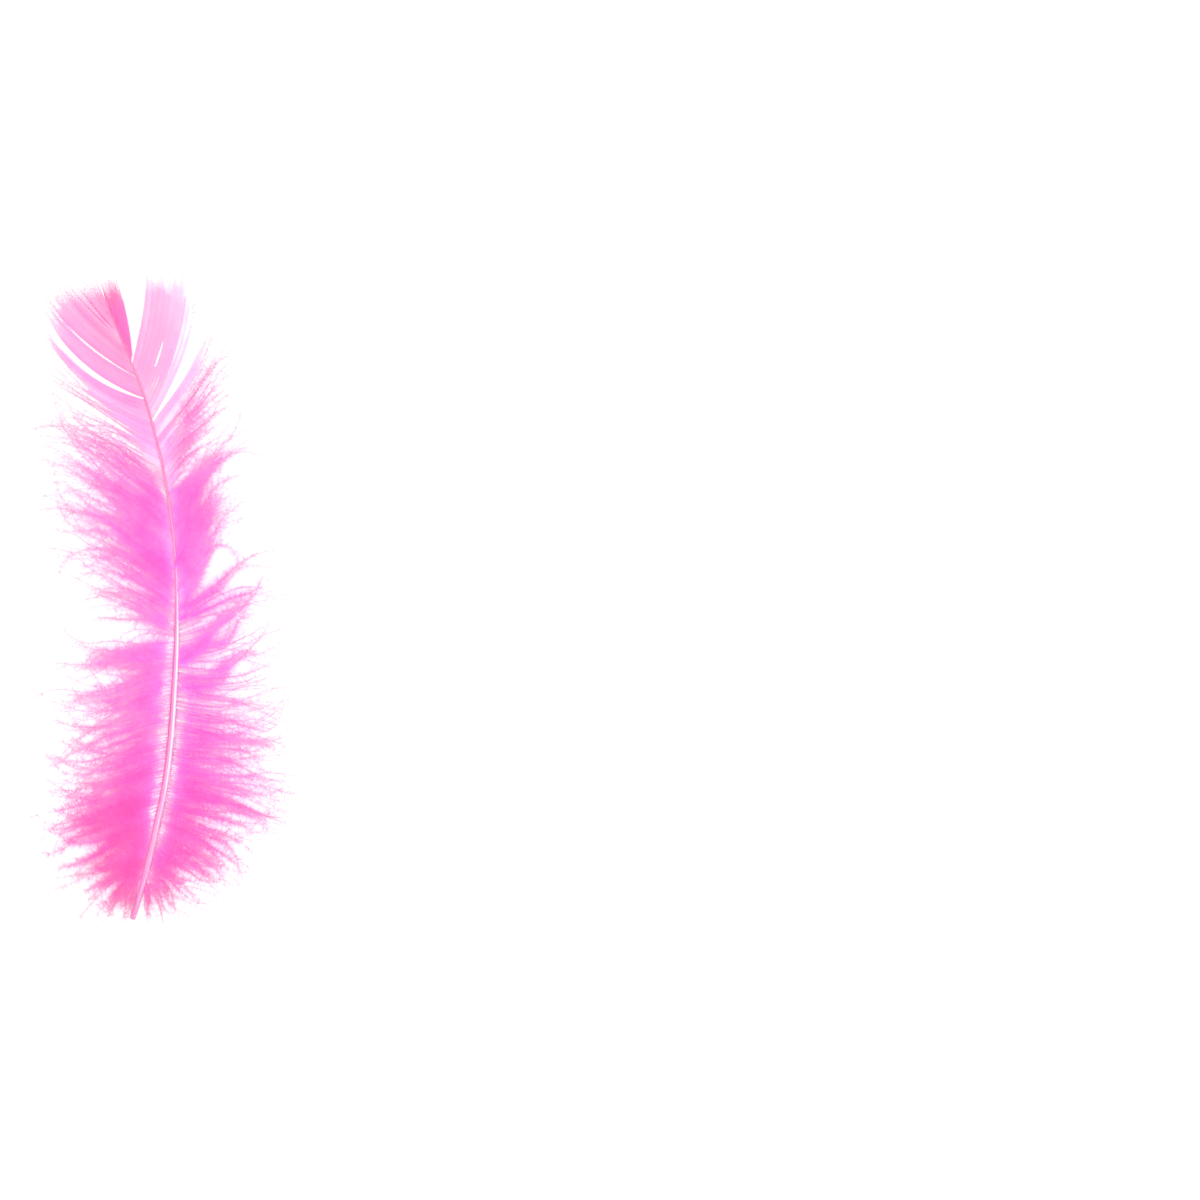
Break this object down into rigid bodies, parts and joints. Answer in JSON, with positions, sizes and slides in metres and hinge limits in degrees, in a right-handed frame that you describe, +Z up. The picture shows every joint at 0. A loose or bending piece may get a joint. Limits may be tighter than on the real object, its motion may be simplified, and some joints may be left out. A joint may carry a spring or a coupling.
{
  "type": "turkey feather",
  "caption": "Pink-dyed turkey plume lying flat: a curved tapering shaft, a soft vane split into panels at the tip, and loose down along both sides to the quill end.",
  "frame": {"origin": "on the surface the feather lies on, under the middle of its bounding box", "axes": "+Y from the quill end to the tip, +X to the right seen from above, +Z up"},
  "size_m": [0.0444, 0.1198, 0.0052],
  "materials": {
    "quill": "satin horn, pale pink",
    "vane": "thin soft film of hooked barbs, pale pink",
    "down": "loose fluffy barbs, hot pink"
  },
  "bodies": {
    "root": {"shaft": "quill", "left_vane_tip": "vane", "left_vane_middle": "vane", "left_vane_lower": "vane", "right_vane_fold": "vane", "right_vane_flag": "vane", "right_vane_lower": "vane", "left_down_upper": "down", "left_down_lower": "down", "right_down_upper": "down", "right_down_middle": "down", "right_down_lower": "down"}
  },
  "joints": []
}
